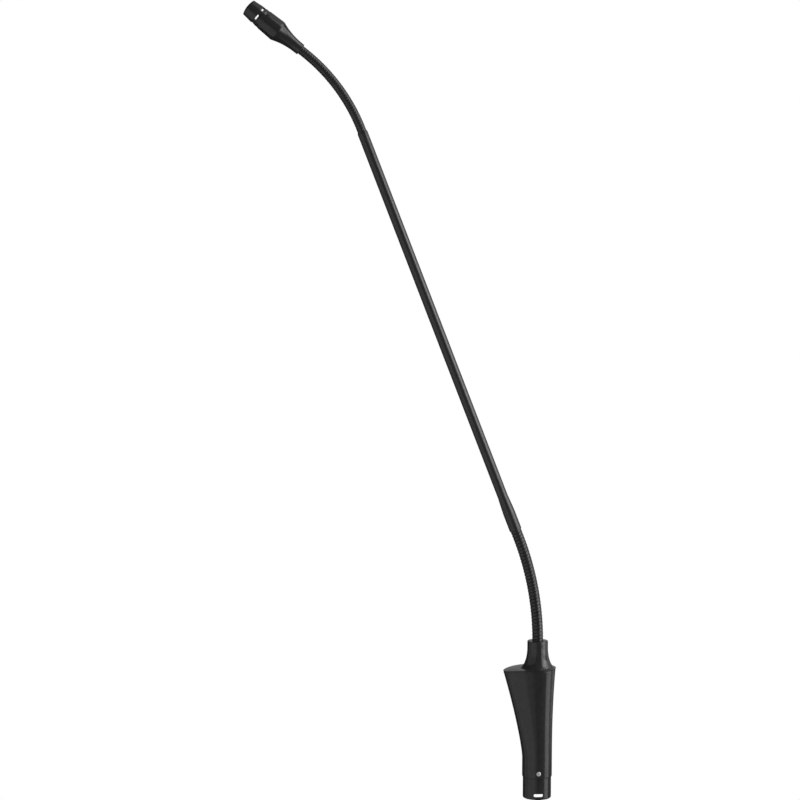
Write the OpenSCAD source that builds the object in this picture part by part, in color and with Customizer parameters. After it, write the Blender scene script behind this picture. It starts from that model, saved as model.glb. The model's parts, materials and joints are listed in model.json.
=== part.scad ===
// Gooseneck podium microphone. A winged preamplifier housing stands on a three-pin plug. A trumpet
// collar carries a flexible neck, a rigid tube, a second flexible neck and a slim capsule head.
// Millimetres, +Z up. The origin is the plug's shoulder on the plug axis, and the neck leans to -X.

/* [Plug] */
// Outer radius of the plug shell
shell_r = 9.5; // [9.4:0.05:9.6]
// Length of the plug shell below its shoulder
shell_len = 14.8; // [14.2:0.1:15.4]
// Radius of the cavity that takes the mating plug's nose
cavity_r = 8.1; // [8:0.05:8.2]
// Radius of a contact pin
pin_r = 1.2; // [1.1:0.05:1.3]
// Radius of the circle that the contact pins stand on
pin_circle_r = 3.75; // [3.6:0.05:3.9]

/* [Housing] */
// Radius of the round foot of the housing
foot_r = 10; // [9.9:0.05:10.4]
// Height of the round foot
foot_h = 13; // [12:0.5:15]
// Height of the rim of the top cap beside the collar
rim_h = 74.1; // [72:0.1:77]
// Radius of the round side of the rim
rim_r = 12.1; // [11.8:0.1:12.8]
// Distance from the plug axis to which the wing flares out at the height of the rim
wing_reach = 23.6; // [23:0.1:24]
// Distance from the plug axis to the tip of the top cap
cap_reach = 23.1; // [22.9:0.1:23.6]
// Thickness of the housing wall
wall = 1.6; // [1.3:0.1:1.8]

/* [Collar] */
// Radius of the collar where the neck leaves it
collar_r = 6.9; // [6.6:0.1:7.4]
// Height of the top of the collar
collar_h = 92.3; // [90:0.1:94]

/* [Necks] */
// Radius over the windings of the lower neck
lower_r = 3.65; // [3.5:0.05:3.75]
// Distance between two hinge points of the lower neck
lower_pitch = 7.24; // [7:0.02:8]
// How far the lower neck is bent at rest, in degrees
lower_bend = 21.1; // [0:0.1:40]
// Radius over the windings of the upper neck
upper_r = 3; // [2.9:0.05:3.1]
// Distance between two hinge points of the upper neck
upper_pitch = 6.17; // [6:0.01:7]
// How far the upper neck is bent at rest, in degrees
upper_bend = 29.9; // [0:0.1:40]

/* [Tube] */
// Outer radius of the rigid tube
tube_r = 3.45; // [3.4:0.05:3.5]
// Length from the lower end of the ferrule to the upper end of the tube
tube_len = 283.4; // [200:0.1:400]
// Outer radius of the ferrule
ferrule_r = 4.08; // [4:0.02:4.2]

/* [Head] */
// Length of the head from its collar to its front
head_len = 44.45; // [44.35:0.1:46]
// Largest radius of the head
head_r = 7.18; // [7.1:0.02:7.6]
// Number of rear sound slots round the head
slot_count = 5; // [4:1:6]

/* [Hidden] */
$fn = 64;

LINKS = 9;                      // links in each neck, between ten hinge points
BEND_HINGES = 5;                // every second hinge point bends in the plane of the neck
FIT = 0.02;                     // clearance between pieces that are pressed or glued together

// Finishes
BLACK_PAINT = [0.13, 0.13, 0.13];
BLACK_WIRE = [0.16, 0.16, 0.16];
SILVER = [0.82, 0.82, 0.84];
GOLD = [0.85, 0.68, 0.32];
BOARD_GREEN = [0.10, 0.32, 0.20];
PLASTIC = [0.09, 0.09, 0.09];

// ---- Shapes that several pieces share ----

// The unit direction that leans by the given angle from +Z towards -X.
function lean_dir(a) = [-sin(a), 0, cos(a)];

// Children drawn along +Z are stood at a point with their axis leaning towards -X.
module stand_at(point, lean) translate(point) rotate([0, -lean, 0]) children();

// A solid through a list of rings of equal length, each ring counter-clockwise from above.
module loft(rings) {
    m = len(rings[0]);
    n = len(rings);
    polyhedron(
        points = [for (ring = rings) each ring],
        faces = concat(
            [[for (j = [0 : m - 1]) j]],
            [[for (j = [m - 1 : -1 : 0]) (n - 1) * m + j]],
            [for (i = [0 : n - 2]) for (j = [0 : m - 1])
                [i * m + j, (i + 1) * m + j, (i + 1) * m + (j + 1) % m, i * m + (j + 1) % m]]));
}

// A round cord swept along a route. Its rings stand square to the route.
module cord(route, r, sides = 8) {
    n = len(route);
    along = [for (i = [0 : n - 1]) let (d = route[min(i + 1, n - 1)] - route[max(i - 1, 0)]) d / norm(d)];
    loft([for (i = [0 : n - 1])
        let (side = cross([0, 1, 0], along[i]), u = side / norm(side), v = cross(along[i], u))
        [for (j = [0 : sides - 1]) route[i] + r * (cos(360 * j / sides) * u + sin(360 * j / sides) * v)]]);
}

// The wing seen from above: half a circle towards +X, and half an ellipse of the same width towards -X.
module wing_outline(r, reach) {
    intersection() {
        circle(r);
        translate([0, -r]) square([r, 2 * r]);
    }
    intersection() {
        scale([reach / r, 1]) circle(r);
        translate([-reach, -r]) square([reach, 2 * r]);
    }
}

// A rectangle with round corners, about its centre.
module soft_rectangle(w, h, corner) {
    square([w - 2 * corner, h], center = true);
    square([w, h - 2 * corner], center = true);
    for (x = [-1, 1], y = [-1, 1])
        translate([x * (w / 2 - corner), y * (h / 2 - corner)]) circle(corner);
}

// A round rod with a ball end, point down.
module rod(r, length) {
    rotate_extrude() {
        translate([0, r]) square([r, length - r]);
        intersection() {
            translate([0, r]) circle(r);
            square([r, r]);
        }
    }
}

// ---- Plug ----

RIM_ROUND = 0.9;                // rounding of the plug shell's open rim
SPIGOT_R = 8.72;                // the shell's upper part, inside the housing's foot
SPIGOT_H = 10.5;
SCREW_Z = 3.2;
SCREW_R = 1.5;
SEAM = [9.2, 0.35];             // radius and height of the shadow groove under the housing's foot
WINDOW = [6.35, 2.3];           // window for the mating plug's latch
WINDOW_Z = 3.1 - shell_len;
KEY_W = 3.9;
KEY_PROUD = 0.7;                // the polarising key stands past the rim by this much
INSERT_Z = -1;                  // face of the insert inside the cavity
INSERT_H = 7;
PIN_TIP_Z = 2.6 - shell_len;
PIN_TOP_Z = 9.5;
PIN_ANGLES = [180, 0, 90];      // ground, hot and cold

module xlr_shell() color(BLACK_PAINT) {
    difference() {
        rotate_extrude() difference() {
            union() {
                translate([0, -shell_len + RIM_ROUND]) square([shell_r, shell_len - RIM_ROUND - SEAM[1]]);
                translate([0, -1]) square([SEAM[0], 1]);
                translate([0, -shell_len]) square([shell_r - RIM_ROUND, RIM_ROUND + 1]);
                translate([shell_r - RIM_ROUND, -shell_len + RIM_ROUND]) circle(RIM_ROUND);
                square([SPIGOT_R, SPIGOT_H]);
            }
            translate([0, -shell_len - 1]) square([cavity_r, shell_len + SPIGOT_H + 2]);
        }
        translate([0, -shell_r, WINDOW_Z]) rotate([90, 0, 0])
            linear_extrude(4, center = true) soft_rectangle(WINDOW[0], WINDOW[1], 1);
        translate([0, -6, SCREW_Z]) rotate([90, 0, 0]) cylinder(r = 1.22, h = 4);
    }
    translate([-KEY_W / 2, -cavity_r - 0.4, -shell_len - KEY_PROUD]) cube([KEY_W, 1.3, 1.6]);
}

module xlr_insert() color(PLASTIC) difference() {
    union() {
        translate([0, 0, INSERT_Z]) cylinder(r = cavity_r - FIT, h = INSERT_H);
        translate([0, 0, INSERT_Z + INSERT_H]) cylinder(r = 6, h = 1.5);
    }
    for (a = PIN_ANGLES) rotate(a) translate([pin_circle_r, 0, INSERT_Z - 1])
        cylinder(r = pin_r + FIT / 2, h = INSERT_H + 4);
    translate([0, -6, SCREW_Z]) rotate([90, 0, 0]) cylinder(r = 1.22, h = 4);
    rotate(-35) translate([cavity_r - 0.5, -1.6, 0]) cube([1, 3.2, INSERT_H + 1]);
}

// A contact pin with a round nose below and a hollow solder cup above.
module contact_pin(i) color(GOLD) rotate(PIN_ANGLES[i]) translate([pin_circle_r, 0, 0]) difference() {
    translate([0, 0, PIN_TIP_Z]) rod(pin_r, PIN_TOP_Z - PIN_TIP_Z);
    translate([0, 0, PIN_TOP_Z - 2.5]) cylinder(r = 0.8, h = 3);
    translate([-3 * pin_r, -2, PIN_TOP_Z - 1.5]) cube([3 * pin_r, 4, 3]);
}

module ground_spring() color(SILVER) rotate(-35) translate([cavity_r - 0.48, -1.2, 0.4])
    difference() {
        cube([0.36, 2.4, 8]);
        translate([-1, 1.2, 6.6]) rotate([0, 90, 0]) cylinder(r = 0.6, h = 3);
    }

// The screw that holds the plug in the housing. Its face has a cross recess.
module shell_screw() color(SILVER) translate([0, -foot_r, SCREW_Z]) rotate([-90, 0, 0]) difference() {
    union() {
        cylinder(r1 = SCREW_R - 0.3, r2 = SCREW_R, h = 0.3);
        translate([0, 0, 0.3]) cylinder(r = SCREW_R, h = 0.9);
        cylinder(r = 1.2, h = 3.6);
    }
    for (a = [0, 90]) rotate(a + 20) translate([-1, -0.22, -1]) cube([2, 0.44, 1.6]);
}

// ---- Housing ----

SHELL_SEAT = 11;                // height of the seat for the plug's spigot
FOOT_EDGE = 0.3;                // chamfer on the foot's lower edge
CAP_LIP = 0.25;                 // how far the cap's rim stands past the housing's round side
CAP_T = 1.8;                    // thickness of the cap at its rim
RIM_STEPS = 30;                 // points on each half of a ring of the wing

// How far up the flare a height is, from 0 at the foot to 1 at the rim.
function flare(z) = max(0, (z - foot_h) / (rim_h - foot_h));
// Radius of the wing's round side, and the distance from the plug axis to its tip.
function side_r(z) = foot_r + (rim_r - foot_r) * pow(flare(z), 2.3);
function reach(z) = foot_r + (wing_reach - foot_r) * pow(flare(z), 1.3);

function wing_ring(z, inset, steps) = [for (j = [0 : 2 * steps - 1])
    let (a = (j + 0.5) * 180 / steps - 90)
    [((cos(a) > 0 ? side_r(z) : reach(z)) - inset) * cos(a), (side_r(z) - inset) * sin(a), z]];

// The cap's upper surface leaves the collar level, and falls as an arc towards the tip of the wing.
DOME_R = 34;
function dome(r) = rim_h - DOME_R + sqrt(pow(DOME_R, 2) - pow(max(0, r - rim_r), 2));
DOME_POINTS = [0, rim_r, rim_r + 2, rim_r + 4, rim_r + 6, rim_r + 8, rim_r + 10, rim_r + 12, rim_r + 14];

// Everything above the dome lowered by the given depth.
module above_dome(depth) rotate_extrude() polygon(concat(
    [for (r = DOME_POINTS) [r, dome(r) - depth]],
    [[rim_r + 14, rim_h + 12], [0, rim_h + 12]]));

BOARD_Y = 1.5;                  // front face of the circuit board
BOARD_T = 1.2;
BOSSES = [[-1, 19], [-3, 56]];  // X and Z of the board's screws

module base_housing() color(BLACK_PAINT) difference() {
    union() {
        difference() {
            union() {
                cylinder(r1 = foot_r - FOOT_EDGE, r2 = foot_r, h = FOOT_EDGE);
                translate([0, 0, FOOT_EDGE]) cylinder(r = foot_r, h = foot_h - FOOT_EDGE);
                loft([for (z = [foot_h, 17, 22, 27, 32, 38, 44, 50, 56, 62, 68, rim_h + 2])
                    wing_ring(z, FIT, RIM_STEPS)]);
            }
            loft([for (z = [SHELL_SEAT, foot_h, 22, 34, 46, 58, rim_h + 3]) wing_ring(z, wall, 24)]);
        }
        for (b = BOSSES)
            translate([b[0], BOARD_Y + BOARD_T, b[1]]) rotate([-90, 0, 0])
                cylinder(r = 2.1, h = side_r(b[1]) - wall - BOARD_Y - BOARD_T + 0.6);
    }
    above_dome(CAP_T);
    translate([0, 0, -1]) cylinder(r = SPIGOT_R + FIT, h = SHELL_SEAT + 1);
    translate([0, 0, SCREW_Z]) rotate([90, 0, 0]) cylinder(r = SCREW_R + 0.08, h = foot_r + 1);
    for (b = BOSSES)
        translate([b[0], BOARD_Y, b[1]]) rotate([-90, 0, 0]) cylinder(r = 0.85, h = 5.6);
}

COLLAR_EDGE = 0.5;              // chamfer on the collar's upper edge
FLARE_H = 13.8;                 // height of the collar's trumpet flare
ROOT_SEAT = 78;                 // shoulder that the neck's root stands on
CAP_FLOOR = 68.5;               // underside of the cap's spigot

// Radius of the trumpet at a depth below the straight part of the collar: a quarter of an ellipse.
function trumpet_r(depth) = collar_r + (rim_r - collar_r) * (1 - sqrt(1 - pow(depth / FLARE_H, 2)));

// A layer of the cap's plate between two depths below the dome. Three layers round its edge.
module cap_plate(low, high, inset) intersection() {
    translate([0, 0, CAP_FLOOR]) linear_extrude(rim_h + 3 - CAP_FLOOR)
        wing_outline(rim_r + CAP_LIP - inset, cap_reach - inset);
    difference() {
        above_dome(low);
        above_dome(high);
    }
}

// The outline of the housing at the floor of the cap, inset.
module spigot_outline(inset) wing_outline(side_r(CAP_FLOOR) - inset, reach(CAP_FLOOR) - inset);

module top_cap() color(BLACK_PAINT) difference() {
    union() {
        difference() {
            translate([0, 0, CAP_FLOOR]) linear_extrude(rim_h + 3 - CAP_FLOOR)
                spigot_outline(wall + 0.15);
            above_dome(0.9);
            difference() {
                translate([0, 0, CAP_FLOOR - 1]) linear_extrude(3.2)
                    spigot_outline(2 * wall);
                translate([0, 0, CAP_FLOOR - 2]) cylinder(r = 7, h = 6);
            }
        }
        cap_plate(CAP_T - FIT, 0.8, 0);
        cap_plate(0.85, 0.3, 0.15);
        cap_plate(0.35, 0, 0.5);
        rotate_extrude() polygon(concat(
            [[0, rim_h - 1], [rim_r, rim_h - 1]],
            [for (k = [9 : -1 : 0]) let (d = FLARE_H * sin(10 * k)) [trumpet_r(d), rim_h + FLARE_H - d]],
            [[collar_r, collar_h - COLLAR_EDGE], [collar_r - COLLAR_EDGE, collar_h], [0, collar_h]]));
    }
    translate([0, 0, CAP_FLOOR - 1]) cylinder(r = 3.05, h = 40);
    translate([0, 0, ROOT_SEAT]) cylinder(r = lower_r + 0.05, h = 40);
}

// ---- Preamplifier inside the housing ----

module preamp_board() color(BOARD_GREEN) difference() {
    translate([0, BOARD_Y + BOARD_T, 0]) rotate([90, 0, 0]) linear_extrude(BOARD_T)
        polygon([[-6.5, 14], [6.5, 14], [7, 40], [8, 62], [-14.2, 62], [-9.6, 38]]);
    for (b = BOSSES)
        translate([b[0], 0, b[1]]) rotate([-90, 0, 0]) cylinder(r = 0.95, h = 5);
}

// Children are stood on the board's front face at X and Z, pointing out of the board.
module on_board(x, z) translate([x, BOARD_Y, z]) rotate([90, 0, 0]) children();

module filter_capacitors() color([0.12, 0.14, 0.22]) for (z = [28, 36])
    on_board(2.6, z) difference() {
        cylinder(r = 2.5, h = 6);
        translate([0, 0, 4.6]) rotate_extrude() translate([2.6, 0]) circle(0.3);
    }

module coupling_capacitors() color([0.62, 0.18, 0.12]) for (z = [42, 47])
    on_board(-4.5, z) linear_extrude(5) soft_rectangle(7.2, 2.8, 0.4);

module output_transistors() color(PLASTIC) for (x = [-3, 3])
    on_board(x, 22.5) difference() {
        cylinder(r = 2.2, h = 4.6);
        translate([-3, 1.1, -1]) cube([6, 3, 8]);
    }

module chip_resistors() color([0.2, 0.2, 0.22]) for (row = [0 : 2], col = [0 : 1])
    on_board(-10.5 + 3.2 * col, 51.8 + 2.6 * row) translate([-1, -0.6, 0]) cube([2, 1.2, 0.5]);

module board_screws() color(SILVER) for (b = BOSSES) on_board(b[0], b[1]) difference() {
    union() {
        rotate_extrude() difference() {
            square([1.7, 1]);
            translate([1.7, 1]) circle(0.4);
        }
        translate([0, 0, -5]) cylinder(r = 0.83, h = 5.2);
    }
    for (a = [0, 90]) rotate(a) translate([-0.9, -0.2, 0.4]) cube([1.8, 0.4, 2]);
}

LEAD_R = 0.45;
CABLE_R = 0.6;

module output_leads() color([0.7, 0.7, 0.7]) for (x = [-1, 0, 1])
    cord([[x * pin_circle_r, x == 0 ? pin_circle_r : 0, PIN_TOP_Z - 2.4],
          [x * pin_circle_r, x == 0 ? pin_circle_r : 0, PIN_TOP_Z + 0.2],
          [x * pin_circle_r, x == 0 ? pin_circle_r : 0.2, PIN_TOP_Z + 1.5],
          [x * 3.9, x == 0 ? 3.6 : 0.5, PIN_TOP_Z + 3],
          [x * 4.2, x == 0 ? 3.2 : 1, PIN_TOP_Z + 4.6],
          [x * 4.4, x == 0 ? 3.2 : 1, PIN_TOP_Z + 6]], LEAD_R, 6);

// ---- Lower neck ----

ROOT_END = 63;                  // lower end of the neck's root, below the nut
LOWER_BALL = 2.35;
LOWER_CORE = 3.1;
LOWER_Z = 98.8;                 // height of the first hinge point
LOWER_TAIL = 5.56;              // from the last hinge point to the ferrule
UPPER_BALL = 1.9;
UPPER_CORE = 2.52;
UPPER_START = 6.85;             // from the end of the tube to the first hinge point
UPPER_TAIL = 4.7;               // from the last hinge point to the head

// Lean of the neck after hinge k, and the place of hinge k.
function lower_lean(k) = lower_bend * ceil(k / 2) / BEND_HINGES;
function lower_point(k) = k == 1 ? [0, 0, LOWER_Z]
    : lower_point(k - 1) + lower_pitch * lean_dir(lower_lean(k - 1));
function upper_lean(k) = lower_bend + upper_bend * ceil(k / 2) / BEND_HINGES;
function upper_point(k) = k == 1 ? tube_point(LOWER_TAIL + tube_len + UPPER_START)
    : upper_point(k - 1) + upper_pitch * lean_dir(upper_lean(k - 1));
// A point on the tube's axis, counted from the lower neck's last hinge point.
function tube_point(s) = lower_point(LINKS + 1) + s * lean_dir(lower_bend);
HEAD_LEAN = lower_bend + upper_bend;
HEAD_POINT = upper_point(LINKS + 1) + UPPER_TAIL * lean_dir(HEAD_LEAN);

JOINT_GAP = 0.1;                // the cable's pieces stop short of a neck's end hinges by this much
// The cable's route through a neck's hinge points, a little shorter at both ends.
function neck_route(p) = let (n = len(p) - 1, a = p[1] - p[0], b = p[n - 1] - p[n])
    concat([p[0] + JOINT_GAP * a / norm(a)], [for (i = [1 : n - 1]) p[i]], [p[n] + JOINT_GAP * b / norm(b)]);

BALL_FIT = 0.06;                // running clearance between a ball and its socket
SOCKET_RIM = 0.34;              // the socket grips past the ball's centre by this share of its radius
FACE_GAP = 0.75;                // a link's lower face stands off by this share of the ball's radius
WINDINGS = 3;                   // windings on each link
RIB_SHARE = 0.28;               // half width of a winding's root, as a share of the windings' spacing

// Half section of a socket: a cut that takes the ball of the next link.
module socket_cut(ball, z) translate([0, z]) circle(ball + BALL_FIT);

// Half section of a ball on a short stem below a face at z = FACE_GAP * ball.
module ball_tail(ball) {
    intersection() {
        circle(ball);
        translate([0, -0.72 * ball]) square([ball, 2 * ball]);
    }
    square([0.68 * ball, FACE_GAP * ball + 0.1]);
}

// Half section of a core with windings from one height up to another.
module wound_core(core, outer, z0, z1, spacing) {
    translate([0, z0]) square([core, z1 - z0]);
    root = RIB_SHARE * spacing;
    for (z = [z0 + root : spacing : z1 - root])
        translate([core - 0.1, z])
            polygon([[0, -root], [outer - core + 0.1, -root / 3], [outer - core + 0.1, root / 3], [0, root]]);
}

// Half section of the bore that the cable runs in, flared at the ball.
module cable_bore(ball, bore, z0, z1) {
    translate([0, z0]) square([bore, z1 - z0]);
    if (ball > 0) polygon([[0, -ball], [bore + 0.45, -ball], [bore, -0.25 * ball], [0, -0.25 * ball]]);
}

// A link of a neck: a ball below, a wound core, and the socket for the next ball above.
module neck_link(ball, core, outer, bore, pitch) color(BLACK_WIRE) rotate_extrude() difference() {
    union() {
        ball_tail(ball);
        wound_core(core, outer, FACE_GAP * ball, pitch + SOCKET_RIM * ball, pitch / WINDINGS);
    }
    socket_cut(ball, pitch);
    cable_bore(ball, bore, -ball, pitch);
}

module lower_link(k) stand_at(lower_point(k), lower_lean(k))
    neck_link(LOWER_BALL, LOWER_CORE, lower_r, 1.0, lower_pitch);

module upper_link(k) stand_at(upper_point(k), upper_lean(k))
    neck_link(UPPER_BALL, UPPER_CORE, upper_r, 0.85, upper_pitch);

// The fitting clamped in the collar, with the first socket of the neck on its upper end.
module lower_neck_root() color(BLACK_WIRE) rotate_extrude() difference() {
    union() {
        translate([0, ROOT_END]) square([3, LOWER_Z - ROOT_END]);
        translate([0, ROOT_SEAT]) square([lower_r, collar_h - 0.4 - ROOT_SEAT]);
        wound_core(LOWER_CORE, lower_r, collar_h - 0.4, LOWER_Z + SOCKET_RIM * LOWER_BALL,
            lower_pitch / WINDINGS);
    }
    socket_cut(LOWER_BALL, LOWER_Z);
    translate([0, ROOT_END - 1]) square([1.0, 40]);
}

module neck_nut() color(SILVER) difference() {
    translate([0, 0, CAP_FLOOR - 3.5]) cylinder(r = 5.6, h = 3.5 - FIT, $fn = 6);
    translate([0, 0, CAP_FLOOR - 5]) cylinder(r = 3 + FIT, h = 8);
}

module base_cable() color(PLASTIC)
    cord([[-5, 0.85, 49.4], [-4.6, -0.4, 51.4], [-3.4, -1.2, 54], [-1.6, -1, 57.5],
          [-0.4, -0.4, 60.5], [0, 0, 64], [0, 0, 80], [0, 0, LOWER_Z - JOINT_GAP]], CABLE_R);

module lower_neck_cable() color(PLASTIC)
    cord(neck_route([for (k = [1 : LINKS + 1]) lower_point(k)]), CABLE_R);

// ---- Rigid tube ----

FERRULE_GRIP = 11;              // length of the ferrule over the neck's end
FERRULE_STRAIGHT = 13;
FERRULE_LEN = 23;
TUBE_BORE = 2.65;
UPPER_PLUG = 14;                // length of the upper neck's root inside the tube

module along_tube() stand_at(tube_point(LOWER_TAIL), lower_bend) children();

module lower_neck_end() color(BLACK_WIRE) stand_at(tube_point(0), lower_bend)
rotate_extrude() difference() {
    union() {
        ball_tail(LOWER_BALL);
        wound_core(LOWER_CORE, lower_r, FACE_GAP * LOWER_BALL, LOWER_TAIL + 0.1,
            lower_pitch / WINDINGS);
        translate([0, LOWER_TAIL]) square([LOWER_CORE, FERRULE_GRIP - FIT]);
    }
    cable_bore(LOWER_BALL, 1.0, -LOWER_BALL, 40);
}

module tube_ferrule() color(BLACK_PAINT) along_tube() rotate_extrude() difference() {
    polygon([[0, 0], [ferrule_r - 0.4, 0], [ferrule_r, 0.4], [ferrule_r, FERRULE_STRAIGHT],
             [tube_r + 0.2, FERRULE_LEN], [0, FERRULE_LEN]]);
    translate([0, -1]) square([LOWER_CORE + FIT, FERRULE_GRIP + 1]);
    translate([0, FERRULE_GRIP]) square([tube_r + FIT, FERRULE_LEN]);
}

module rigid_tube() color(BLACK_PAINT) along_tube() rotate_extrude() difference() {
    polygon([[0, FERRULE_GRIP], [tube_r, FERRULE_GRIP], [tube_r, tube_len - 1.2],
             [tube_r - 0.35, tube_len - 0.3],
             [tube_r - 0.5, tube_len], [0, tube_len]]);
    translate([0, FERRULE_GRIP - 1]) square([TUBE_BORE, tube_len]);
}

module upper_neck_root() color(BLACK_WIRE) along_tube() translate([0, 0, tube_len])
rotate_extrude() difference() {
    union() {
        translate([0, -UPPER_PLUG]) square([TUBE_BORE - FIT, UPPER_PLUG + 0.5]);
        wound_core(UPPER_CORE, upper_r, 0, UPPER_START + SOCKET_RIM * UPPER_BALL,
            upper_pitch / WINDINGS);
    }
    socket_cut(UPPER_BALL, UPPER_START);
    translate([0, -UPPER_PLUG - 1]) square([0.85, 40]);
}

module tube_cable() color(PLASTIC) stand_at(tube_point(0), lower_bend) translate([0, 0, JOINT_GAP])
    cylinder(r = CABLE_R, h = LOWER_TAIL + tube_len + UPPER_START - 2 * JOINT_GAP);

module upper_neck_cable() color(PLASTIC)
    cord(neck_route([for (k = [1 : LINKS + 1]) upper_point(k)]), CABLE_R);

// ---- Head ----

PLUG_R = 2.6;                   // bore of the head for the neck's end
PLUG_LEN = 12;
FLARE_END = 19;                 // where the head's trumpet flare ends in its widest edge
BAND_START = 30.2;              // a narrower band begins here, before the capsule cap
CAP_JOINT = 33.7;               // where the capsule cap meets the head
SHOULDER = 36.8;                // upper end of the slot ring
SLOT_Z = 35.25;
SLOT_HALF = 0.6;                // half width of a sound slot
SLOT_ANGLE = 50;
SLOT_END = 6.5;                 // the angle that a slot's round end takes up
SLOT_TURN = 255;                // direction of the first slot, on the side away from the lectern
NECK_COLLAR_R = 3.88;           // radius of the head where the neck enters it
CHAMBER_R = 5.6;
RING_R = 6.35;                  // outer radius of the slot ring
POCKET_R = 5.15;                // bore of the cap, for the capsule's sleeve, the foam and the mesh
LIP_R = 4.9;                    // opening in the cap's front lip
LIP_Z = 43.1;                   // underside of the lip
FRONT_R = 16;                   // radius of the front's dome
CAN_TOP = 42.4;
CAN_LEN = 5.2;

// Height of the domed front at a distance from the head's axis.
function front_z(r) = head_len - FRONT_R + sqrt(FRONT_R * FRONT_R - r * r);

module in_head() stand_at(HEAD_POINT, HEAD_LEAN) children();

module upper_neck_end() color(BLACK_WIRE) stand_at(upper_point(LINKS + 1), HEAD_LEAN)
rotate_extrude() difference() {
    union() {
        ball_tail(UPPER_BALL);
        wound_core(UPPER_CORE, upper_r, FACE_GAP * UPPER_BALL, UPPER_TAIL,
            upper_pitch / WINDINGS);
        translate([0, UPPER_TAIL - 0.1]) square([PLUG_R - FIT, PLUG_LEN]);
    }
    cable_bore(UPPER_BALL, 0.85, -UPPER_BALL, 40);
}

// Radius of the head's flare: slow at the neck and fast at the widest edge.
function head_flare(d) = NECK_COLLAR_R + (head_r - NECK_COLLAR_R) * pow(d / FLARE_END, 2.35);

module head_housing() color(BLACK_PAINT) in_head() rotate_extrude() difference() {
    polygon(concat(
        [[0, 0], [NECK_COLLAR_R - 0.3, 0], [NECK_COLLAR_R, 0.3]],
        [for (d = [2 : 1.5 : FLARE_END]) [head_flare(d), d]],
        [[head_r, FLARE_END], [head_r, FLARE_END + 1.7], [head_r - 0.13, 23.6], [head_r - 0.36, BAND_START],
         [head_r - 0.62, BAND_START + 1.1], [head_r - 0.63, CAP_JOINT - 0.15],
         [head_r - 0.78, CAP_JOINT], [0, CAP_JOINT]]));
    translate([0, -1]) square([PLUG_R, PLUG_LEN + 1]);
    polygon([[0, PLUG_LEN - 0.1], [PLUG_R, PLUG_LEN - 0.1], [CHAMBER_R, 21],
             [CHAMBER_R, CAP_JOINT + 1], [0, CAP_JOINT + 1]]);
}

// A slot round the head with round ends.
module sound_slot() {
    rotate(-SLOT_ANGLE / 2 + SLOT_END) rotate_extrude(angle = SLOT_ANGLE - 2 * SLOT_END)
        translate([4, -SLOT_HALF + 0.02]) square([4, 2 * SLOT_HALF - 0.04]);
    for (side = [-1, 1]) rotate(side * (SLOT_ANGLE / 2 - SLOT_END)) translate([4, 0, 0]) rotate([0, 90, 0])
        cylinder(r = SLOT_HALF, h = 4);
}

module capsule_cap() color(BLACK_PAINT) in_head() difference() {
    rotate_extrude() difference() {
        polygon(concat(
            [[0, 28.5], [CHAMBER_R - FIT, 28.5], [CHAMBER_R - FIT, CAP_JOINT], [RING_R - 0.2, CAP_JOINT],
             [RING_R - 0.2, CAP_JOINT + 0.3], [RING_R, CAP_JOINT + 0.4], [RING_R, SHOULDER], [6.14, 38.8],
             [5.93, 40.5], [5.7, 42.9], [5.62, 43.2]],
            [for (r = [5.5, LIP_R, 3, 0]) [r, front_z(r)]]));
        translate([0, 28]) square([4.9, CAP_JOINT - 28 + 0.1]);
        translate([0, CAP_JOINT]) square([POCKET_R, LIP_Z - CAP_JOINT]);
        translate([0, CAP_JOINT]) square([LIP_R, head_len]);
    }
    for (k = [0 : slot_count - 1])
        rotate(SLOT_TURN + k * 360 / slot_count) translate([0, 0, SLOT_Z]) sound_slot();
}

CAN_R = 4.3;
CAN_T = 0.25;

module disc(r, z, t) in_head() translate([0, 0, z]) cylinder(r = r, h = t);

module ring(r, hole, z, t) in_head() translate([0, 0, z]) difference() {
    cylinder(r = r, h = t);
    translate([0, 0, -1]) cylinder(r = hole, h = t + 2);
}

// The domed mesh in the front lip, with a flange behind the lip.
module front_mesh() color([0.2, 0.2, 0.2]) in_head() rotate_extrude() difference() {
    union() {
        translate([0, LIP_Z - 0.3]) square([POCKET_R - FIT, 0.28]);
        polygon(concat([[0, LIP_Z - 0.2], [LIP_R - FIT, LIP_Z - 0.2]],
            [for (r = [LIP_R - FIT, 4, 3, 2, 1, 0]) [r, front_z(r)]]));
    }
    polygon(concat([[0, LIP_Z - 1], [4.5, LIP_Z - 1]],
        [for (r = [4.5, 4, 3, 2, 1, 0]) [r, front_z(r) - 0.35]]));
}

module wind_foam() color([0.1, 0.1, 0.1]) disc(POCKET_R - FIT, CAN_TOP + 0.02, LIP_Z - CAN_TOP - 0.34);
module capsule_sleeve() color(PLASTIC) ring(POCKET_R - FIT, CAN_R + FIT, CAN_TOP - CAN_LEN, CAN_LEN - 0.2);

module capsule_can() color(SILVER) in_head() rotate_extrude() difference() {
    translate([0, CAN_TOP - CAN_LEN]) square([CAN_R, CAN_LEN]);
    translate([0, CAN_TOP - CAN_LEN - 1]) square([CAN_R - CAN_T, CAN_LEN + 1 - CAN_T]);
    translate([0, CAN_TOP - 1]) square([1.5, 2]);
}

STACK_R = CAN_R - CAN_T - FIT;
STACK_Z = CAN_TOP - CAN_T;
module diaphragm_ring() color(GOLD) ring(STACK_R, 3.4, STACK_Z - 0.42, 0.4);
module diaphragm() color([0.75, 0.75, 0.7]) disc(STACK_R, STACK_Z - 0.52, 0.1);
module spacer_ring() color([0.9, 0.9, 0.85]) ring(STACK_R, 3.5, STACK_Z - 0.64, 0.12);

module backplate() color(GOLD) in_head() translate([0, 0, STACK_Z - 1.4]) difference() {
    cylinder(r = 3.5, h = 0.7);
    for (k = [0 : 5]) rotate(60 * k) translate([2.1, 0, -1]) cylinder(r = 0.35, h = 3);
}

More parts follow.
